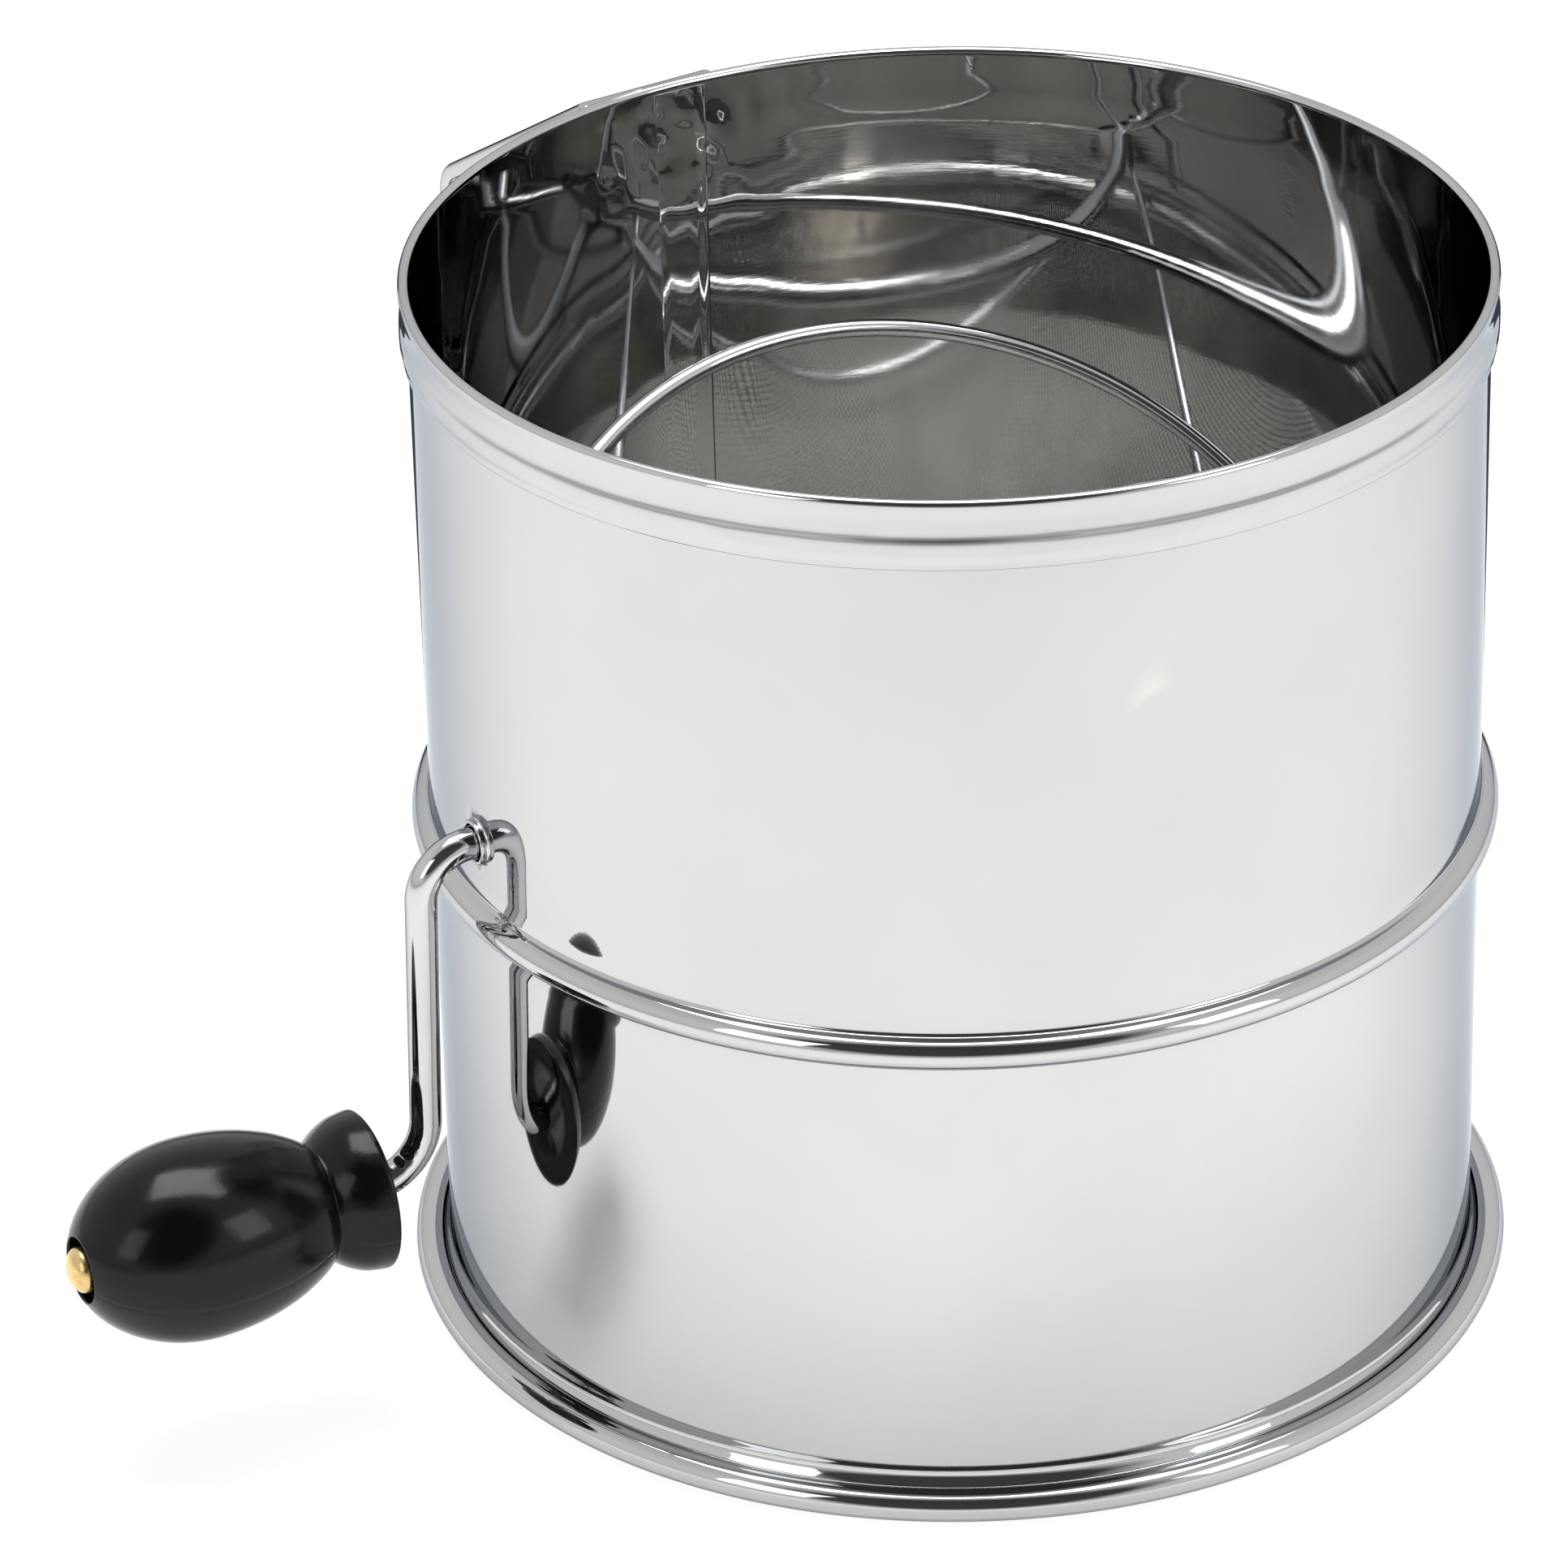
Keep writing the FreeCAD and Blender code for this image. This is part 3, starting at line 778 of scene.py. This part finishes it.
def wire_centres(table, offset, phase, crossing):
    """Places along one wire, over and under by turns, each with a place straight above it."""
    steps = int(math.sqrt(table[-1][0] ** 2 - offset ** 2) / WIRE_PITCH)
    centres = []
    for step in range(-steps, steps + 1):
        along = step * WIRE_PITCH
        lift = WIRE_R if (step + phase) % 2 else -WIRE_R
        u, v = (offset, along) if crossing else (along, offset)
        spin_u = u * math.cos(WEAVE_TURN) - v * math.sin(WEAVE_TURN)
        spin_v = u * math.sin(WEAVE_TURN) + v * math.cos(WEAVE_TURN)
        centres.append((on_bowl(table, spin_u, spin_v, lift),
                        on_bowl(table, spin_u, spin_v, lift + 1.0)))
    return centres


def wire_ring(centres, index):
    """Points round a wire at one of its centres."""
    centre, above = centres[index]
    ahead = centres[min(index + 1, len(centres) - 1)][0]
    behind = centres[max(index - 1, 0)][0]
    tangent = (ahead - behind).normalized() if ahead != behind else Vector((1, 0, 0))
    up = (above - centre).normalized()
    across = tangent.cross(up).normalized()
    angles = [TAU * side / WIRE_SIDES + math.pi / 2 for side in range(WIRE_SIDES)]
    return [centre + (across * math.cos(angle) + up * math.sin(angle)) * WIRE_R
            for angle in angles]


def build_screen():
    """Woven wire cloth drawn into a bowl, as two sets of crossing wires."""
    table = bowl_profile()
    reach = table[-1][0]
    half = int(reach / WIRE_PITCH)
    for crossing, name in enumerate(("screen_warp", "screen_weft")):
        points, faces = [], []
        for line in range(-half, half + 1):
            offset = line * WIRE_PITCH
            if abs(offset) >= reach - 0.2:
                continue
            centres = wire_centres(table, offset, line + crossing, crossing)
            base = len(points)
            for index in range(len(centres)):
                points += wire_ring(centres, index)
            faces += [tuple(base + corner for corner in face)
                      for face in grid_faces(len(centres), WIRE_SIDES, False, True)]
        data = bpy.data.meshes.new(name)
        data.from_pydata([tuple(point * MM) for point in points], [], faces)
        data.polygons.foreach_set("use_smooth", [True] * len(data.polygons))
        add_piece(name, data, mesh_steel, "sifter", ["mesh_bowl"])


# ---------------------------------------------------------------- crank and agitator

def build_arches():
    """Four half hoops of wire, thicker where they meet the shaft."""
    steps, total = 120, math.pi * ARCH_R

    def radius_at(walked, angle):
        near_end = min(walked, total - walked)
        return ARCH_WIRE_R + 0.75 * bump_at(max(near_end - 2.2, 0), 1.3)

    for number, lean in enumerate(ARCH_ANGLES, 1):
        path = []
        for step in range(steps + 1):
            angle = math.pi * (step / steps)
            sway = 0.25 * noise.noise(Vector((number * 3.1, math.cos(angle) * 2, 0.5)))
            reach = ARCH_R + sway * math.sin(angle)
            path.append((reach * math.cos(angle), 0, SHAFT_Z + reach * math.sin(angle)))
        data = tube(f"agitator_arch_{number}", path, radius_at, 20)
        data.transform(about_shaft(-lean))
        add_piece(f"agitator_arch_{number}", data, rod_steel, "crank",
                  [f"agitator_wire_{number}"])


def crank_line():
    """Middle line of the rod as (across, up), and the distance walked to its lower bend."""
    arm, bottom = -CRANK_ARM_X, SHAFT_Z - CRANK_THROW
    upper, lower = CRANK_UPPER_BEND_R, CRANK_LOWER_BEND_R
    arm_from, arm_to = SHAFT_Z - upper, bottom + lower
    line = [(SHAFT_END_X, SHAFT_Z)]
    line += straight(line[0], (arm + upper, SHAFT_Z), 60)
    line += arc((arm + upper, arm_from), (upper, upper), 90, 180, 24)
    line += straight((arm, arm_from), (arm, arm_to), 30)
    line += arc((arm - lower, arm_to), (lower, lower), 0, -90, 24)
    line += straight((arm - lower, bottom), (-ROD_TIP_X, bottom), 40)
    corner = SHAFT_END_X - (arm + upper) + 0.5 * math.pi * upper + arm_from - arm_to
    return line, corner


def build_crank():
    line, corner = crank_line()

    def radius_at(walked, angle):
        """The bending tool leaves a flattened, rippled patch inside the lower bend."""
        beyond = walked - corner
        inside = bump_at(math.remainder(angle - CRUSHED_SIDE, TAU), 0.7)
        ripple = 0.5 + 0.5 * math.cos(beyond * 2.6)
        dent = 0.22 * inside * bump_at(beyond - 7.0, 4.5) * ripple
        return ROD_R - dent

    data = tube("crank_rod_skin", [(across, 0, up) for across, up in line], radius_at, 48)
    data.transform(about_shaft(CRANK_REST_ANGLE))
    add_piece("crank_rod_skin", data, rod_steel, "crank", ["crank_rod"])

    head = [(0.0, PEEN_EDGE_X - 0.45), (PEEN_R - 0.2, PEEN_EDGE_X - 0.45),
            (PEEN_R, PEEN_EDGE_X - 0.3), (PEEN_R, PEEN_EDGE_X)]
    head += arc((0.0, PEEN_EDGE_X), (PEEN_R, PEEN_DOME), 0, 90, 8)
    data = lathe("peened_head", head, 64, False,
                 lambda index, angle, height: 0.06 * noise.noise(Vector((angle, height * 2, 1)))
                 if 0 < index < 9 else 0.0)
    data.transform(about_shaft_axis())
    add_piece("shaft_peened_head", data, rod_steel, "crank", ["crank_rod"])

    data = lathe("end_washer", WASHER_SECTION, 96, True)
    data.transform(about_shaft_axis())
    add_piece("end_washer", data, rod_steel, "crank", ["shaft_end_washer"])


# ---------------------------------------------------------------- knob

def knob_matrix():
    """Takes a shape turned about Z to the knob's place on the crank."""
    place = Vector((-KNOB_FACE_X, 0, SHAFT_Z - CRANK_THROW)) * MM
    return about_shaft(CRANK_REST_ANGLE) @ Matrix.Translation(place) @ Matrix.Rotation(
        -math.pi / 2, 4, "Y")


def ellipse_quarter(radius, semi_axis, centre, from_radius, steps):
    """Side of an egg from one of its smaller radii out to its widest one."""
    start = math.acos(from_radius / radius)
    return [(radius * math.cos(start * (1 - step / steps)),
             centre + semi_axis * math.sin(start * (1 - step / steps)))
            for step in range(steps + 1)]


def build_knob():
    rear = ellipse_quarter(KNOB_EGG_R, -KNOB_EGG_REAR, KNOB_EGG_CENTRE, KNOB_NECK_R, 26)
    front = ellipse_quarter(KNOB_EGG_R, KNOB_EGG_FRONT, KNOB_EGG_CENTRE, KNOB_MOUTH_R, 30)[::-1]
    mouth = front[-1][1]
    profile = [(KNOB_BORE_R, 0.0), *KNOB_FLANGE] + rear[1:] + front[1:]
    profile += [(5.42, mouth + 0.12), (5.27, mouth + 0.02), *KNOB_RECESS]
    profile.append((KNOB_BORE_R, KNOB_RECESS[-1][1]))

    def shift(index, angle, height):
        """A fine line where the two halves of the mould met."""
        if not 1 < index < len(profile) - 7:
            return 0.0
        offset = abs(math.remainder(angle - PARTING_ANGLE, math.pi))
        wobble = 0.012 * noise.noise(round_z(angle) * 2 + Vector((0, 0, height / 4)))
        return wobble - 0.10 * bump_at(offset, 0.02)

    data = lathe("knob_skin", profile, 240, True, shift)
    data.transform(knob_matrix())
    add_piece("knob_skin", data, knob_black, "knob", ["knob"])


def build_cap():
    """Domed brass cap on the rod's tip, in the knob's end recess."""
    profile = [(ROD_R, 44.5), (CAP_R - 0.17, 44.5), (CAP_R, 44.65), (CAP_R, CAP_SHOULDER - 0.15)]
    profile += arc((0.0, CAP_SHOULDER), (CAP_R, CAP_DOME), 0, 90, 12)
    profile += [(0.0, 48.1), (ROD_R, 48.1)]
    data = lathe("brass_cap", profile, 72, True,
                 lambda index, angle, height: 0.03 * noise.noise(Vector((angle * 2, height, 3)))
                 if 2 < index < 14 else 0.0)
    data.transform(knob_matrix())
    add_piece("brass_cap", data, brass, "crank", ["knob_cap"])


# ---------------------------------------------------------------- strap handle

def strap_moves():
    """The strap's upper tab, its loop and its lower tab, which ends against the wall."""
    slope = math.radians(STRAP_TOP_BEND - 90)
    out = (STRAP_TOP_BEND_R * (1 + math.sin(slope)) + STRAP_LEG * math.cos(slope)
           + STRAP_CORNER_R * (1 - math.sin(slope)))
    back = STRAP_TAB_R + out - BODY_OUTER_R - STRAP_THICKNESS - STRAP_WELD_GAP
    lower_turn = math.radians(STRAP_LOWER_TURN)
    bends = (STRAP_CORNER_R + STRAP_LOWER_BEND_R) * (1 - math.cos(lower_turn))
    tab = run(STRAP_TAB_LENGTH) + bend(STRAP_TOP_BEND_R, -STRAP_TOP_BEND)
    loop = run(STRAP_LEG) + bend(STRAP_CORNER_R, STRAP_TOP_BEND - 180) + run(STRAP_GRIP)
    loop += bend(STRAP_CORNER_R, -STRAP_LOWER_TURN) + run((back - bends) / math.sin(lower_turn))
    return tab, loop, bend(STRAP_LOWER_BEND_R, STRAP_LOWER_TURN) + run(STRAP_LOWER_TAB)


def strap_section(depth):
    """Half outline of the strap across its width as (sideways, below the outer face)."""
    half, thick, corner = STRAP_WIDTH / 2, STRAP_THICKNESS, STRAP_ROUNDING
    points = [(0.0, 0.0), (4.0, 0.0), (8.0, 0.0), (half - corner, 0.0)]
    points += arc((half - corner, corner), (corner, corner), -90, 0, 6)
    points.append((half, max(corner + 0.02, depth - 0.5)))
    points.append((half - 0.15, depth - 0.12))
    points.append((half - 0.5, depth))
    points.append((half - 0.85, depth - 0.12))
    points.append((half - STRAP_EDGE_THICKNESS, max(thick + 0.02, depth - 0.5)))
    points.append((half - STRAP_EDGE_THICKNESS - 0.05, thick + 0.01))
    return points + [(8.0, thick), (4.0, thick), (0.0, thick)]


def build_strap():
    tab, loop, foot = strap_moves()

    def strap_stops(moves):
        return walk((STRAP_TAB_R, STRAP_TAB_BOTTOM), 90, moves, 3.0, 6.0)

    stops = strap_stops(tab + loop + foot)
    distances = distances_along(stops)
    loop_from = distances[len(strap_stops(tab)) - 1]
    loop_to = distances[len(strap_stops(tab + loop)) - 1]
    points = []
    for distance, (place, angle) in zip(distances, stops):
        grow = share(min(distance - loop_from, loop_to - distance) - 0.5, 7.0)
        turned_in = (STRAP_EDGE_DEPTH - STRAP_THICKNESS) * grow * grow * (3 - 2 * grow)
        half = strap_section(STRAP_THICKNESS + turned_in)
        for sideways, below in half + [(-beside, deep) for beside, deep in half[-2:0:-1]]:
            flat = place + right_of(angle) * below
            points.append((flat.x, sideways, flat.y))
    columns = len(points) // len(stops)
    faces = grid_faces(len(stops), columns, False, True)
    faces.append(tuple(range(columns)))
    last = (len(stops) - 1) * columns
    faces.append(tuple(last + column for column in range(columns))[::-1])
    data = mesh_from("strap_handle_skin", points, faces)
    data.transform(Matrix.Rotation(math.radians(STRAP_AZIMUTH), 4, "Z"))
    piece = add_piece("strap_handle_skin", data, sheet_steel, "sifter",
                      ["strap_handle"])
    edge = piece.modifiers.new("soft_edges", "BEVEL")
    edge.width, edge.segments, edge.limit_method = 0.00012, 2, "ANGLE"
    edge.angle_limit = math.radians(50)
    edge.harden_normals = True


# ---------------------------------------------------------------- build

build_body()
build_collar(-1)
build_collar(1)
build_seam()
build_band()
build_screen()
build_arches()
build_crank()
build_knob()
build_cap()
build_strap()

node_finishes = {"knob": knob_black, "knob_cap": brass, "mesh_bowl": mesh_steel,
                 "body_shell": sheet_steel, "screen_band": sheet_steel,
                 "strap_handle": sheet_steel}
for node_name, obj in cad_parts.items():
    obj.data.materials.clear()
    obj.data.materials.append(node_finishes.get(node_name, rod_steel))

# ---------------------------------------------------------------- floor, light, camera

def build_floor():
    corners = ((-1, -1), (1, -1), (1, 1), (-1, 1))
    data = bpy.data.meshes.new("floor")
    data.from_pydata([(x * FLOOR_HALF, y * FLOOR_HALF, FLOOR_Z) for x, y in corners], [],
                     [(0, 1, 2, 3)])
    floor = bpy.data.objects.new("floor", data)
    data.materials.append(studio_floor())
    bpy.context.scene.collection.objects.link(floor)


def place_lamp(lamp, power, colour, place, target):
    """Puts a lamp in the scene, facing its target."""
    lamp.energy, lamp.color = power, colour
    holder = bpy.data.objects.new(lamp.name, lamp)
    bpy.context.scene.collection.objects.link(holder)
    holder.location = place
    facing = Vector(target) - Vector(place)
    holder.rotation_euler = facing.to_track_quat("-Z", "Y").to_euler()


def soft_light(name, place, size, power, colour):
    """Rectangular soft box aimed at the middle of the sifter."""
    lamp = bpy.data.lights.new(name, "AREA")
    lamp.shape, lamp.size, lamp.size_y = "RECTANGLE", size[0], size[1]
    place_lamp(lamp, power, colour, place, BOX_TARGET)


def mouth_spot():
    """Narrow warm spot from behind that falls through the mouth onto the screen."""
    lamp = bpy.data.lights.new("mouth_spot", "SPOT")
    lamp.spot_size, lamp.spot_blend, lamp.shadow_soft_size = math.radians(4.2), 0.6, 0.01
    place_lamp(lamp, 800, (1.0, 0.90, 0.76), SPOT_PLACE, SPOT_TARGET)


def studio_world():
    """Bright room with a darker patch above the camera; it lights matt surfaces only weakly."""
    world = bpy.data.worlds.new("studio")
    bpy.context.scene.world = world
    world.use_nodes = True
    world.node_tree.nodes.clear()
    n = Nodes(world.node_tree, "Generated")

    def plain(level):
        background = n.add("ShaderNodeBackground")
        background.inputs["Color"].default_value = (level, level, level, 1)
        return background.outputs[0]

    split = n.add("ShaderNodeSeparateXYZ")
    n.link(n.place, split.inputs[0])
    height = n.ramp(split.outputs["Z"], ((0.0, 0.60), (0.12, 0.78), (0.5, 0.82), (1.0, 0.62)))
    patch = n.ramp(n.measure("DOT_PRODUCT", DARK_PATCH), ((0.76, 1.0), (0.88, 0.08)))
    room = n.add("ShaderNodeBackground")
    n.link(n.mix_colour(1.0, height, patch, "MULTIPLY"), room.inputs["Color"])
    path = n.add("ShaderNodeLightPath")
    surface = n.mix_shader(path.outputs["Is Glossy Ray"], plain(0.25), room.outputs[0])
    surface = n.mix_shader(path.outputs["Is Camera Ray"], surface, plain(1.0))
    n.link(surface, n.add("ShaderNodeOutputWorld").inputs["Surface"])


def photo_camera():
    """Camera at the photograph's viewing angle, looking down at the crank side."""
    data = bpy.data.cameras.new("camera")
    data.sensor_width, data.lens, data.clip_end = 36.0, CAMERA_LENS, 20
    data.shift_x, data.shift_y = CAMERA_SHIFT
    camera = bpy.data.objects.new("camera", data)
    bpy.context.scene.collection.objects.link(camera)
    level = math.cos(CAMERA_ELEVATION)
    target = Vector(CAMERA_TARGET)
    place = target + CAMERA_DISTANCE * Vector((math.sin(CAMERA_AZIMUTH) * level,
                                               -math.cos(CAMERA_AZIMUTH) * level,
                                               math.sin(CAMERA_ELEVATION)))
    aim = (target - place).to_track_quat("-Z", "Y").to_matrix().to_4x4()
    camera.matrix_world = (Matrix.Translation(place) @ aim
                           @ Matrix.Rotation(CAMERA_ROLL, 4, "Z"))
    bpy.context.scene.camera = camera


build_floor()
soft_light("overhead_box", (0.1, 0.16, 1.45), (1.3, 0.8), 20, (1.0, 0.98, 0.95))
soft_light("left_box", (-1.45, -0.6, 0.85), (0.55, 0.9), 3, (0.96, 0.98, 1.0))
soft_light("right_box", (0.7, -1.3, 0.8), (0.5, 0.8), 3, (0.96, 0.98, 1.0))
mouth_spot()
studio_world()
photo_camera()
bpy.context.scene.view_settings.view_transform = "Standard"
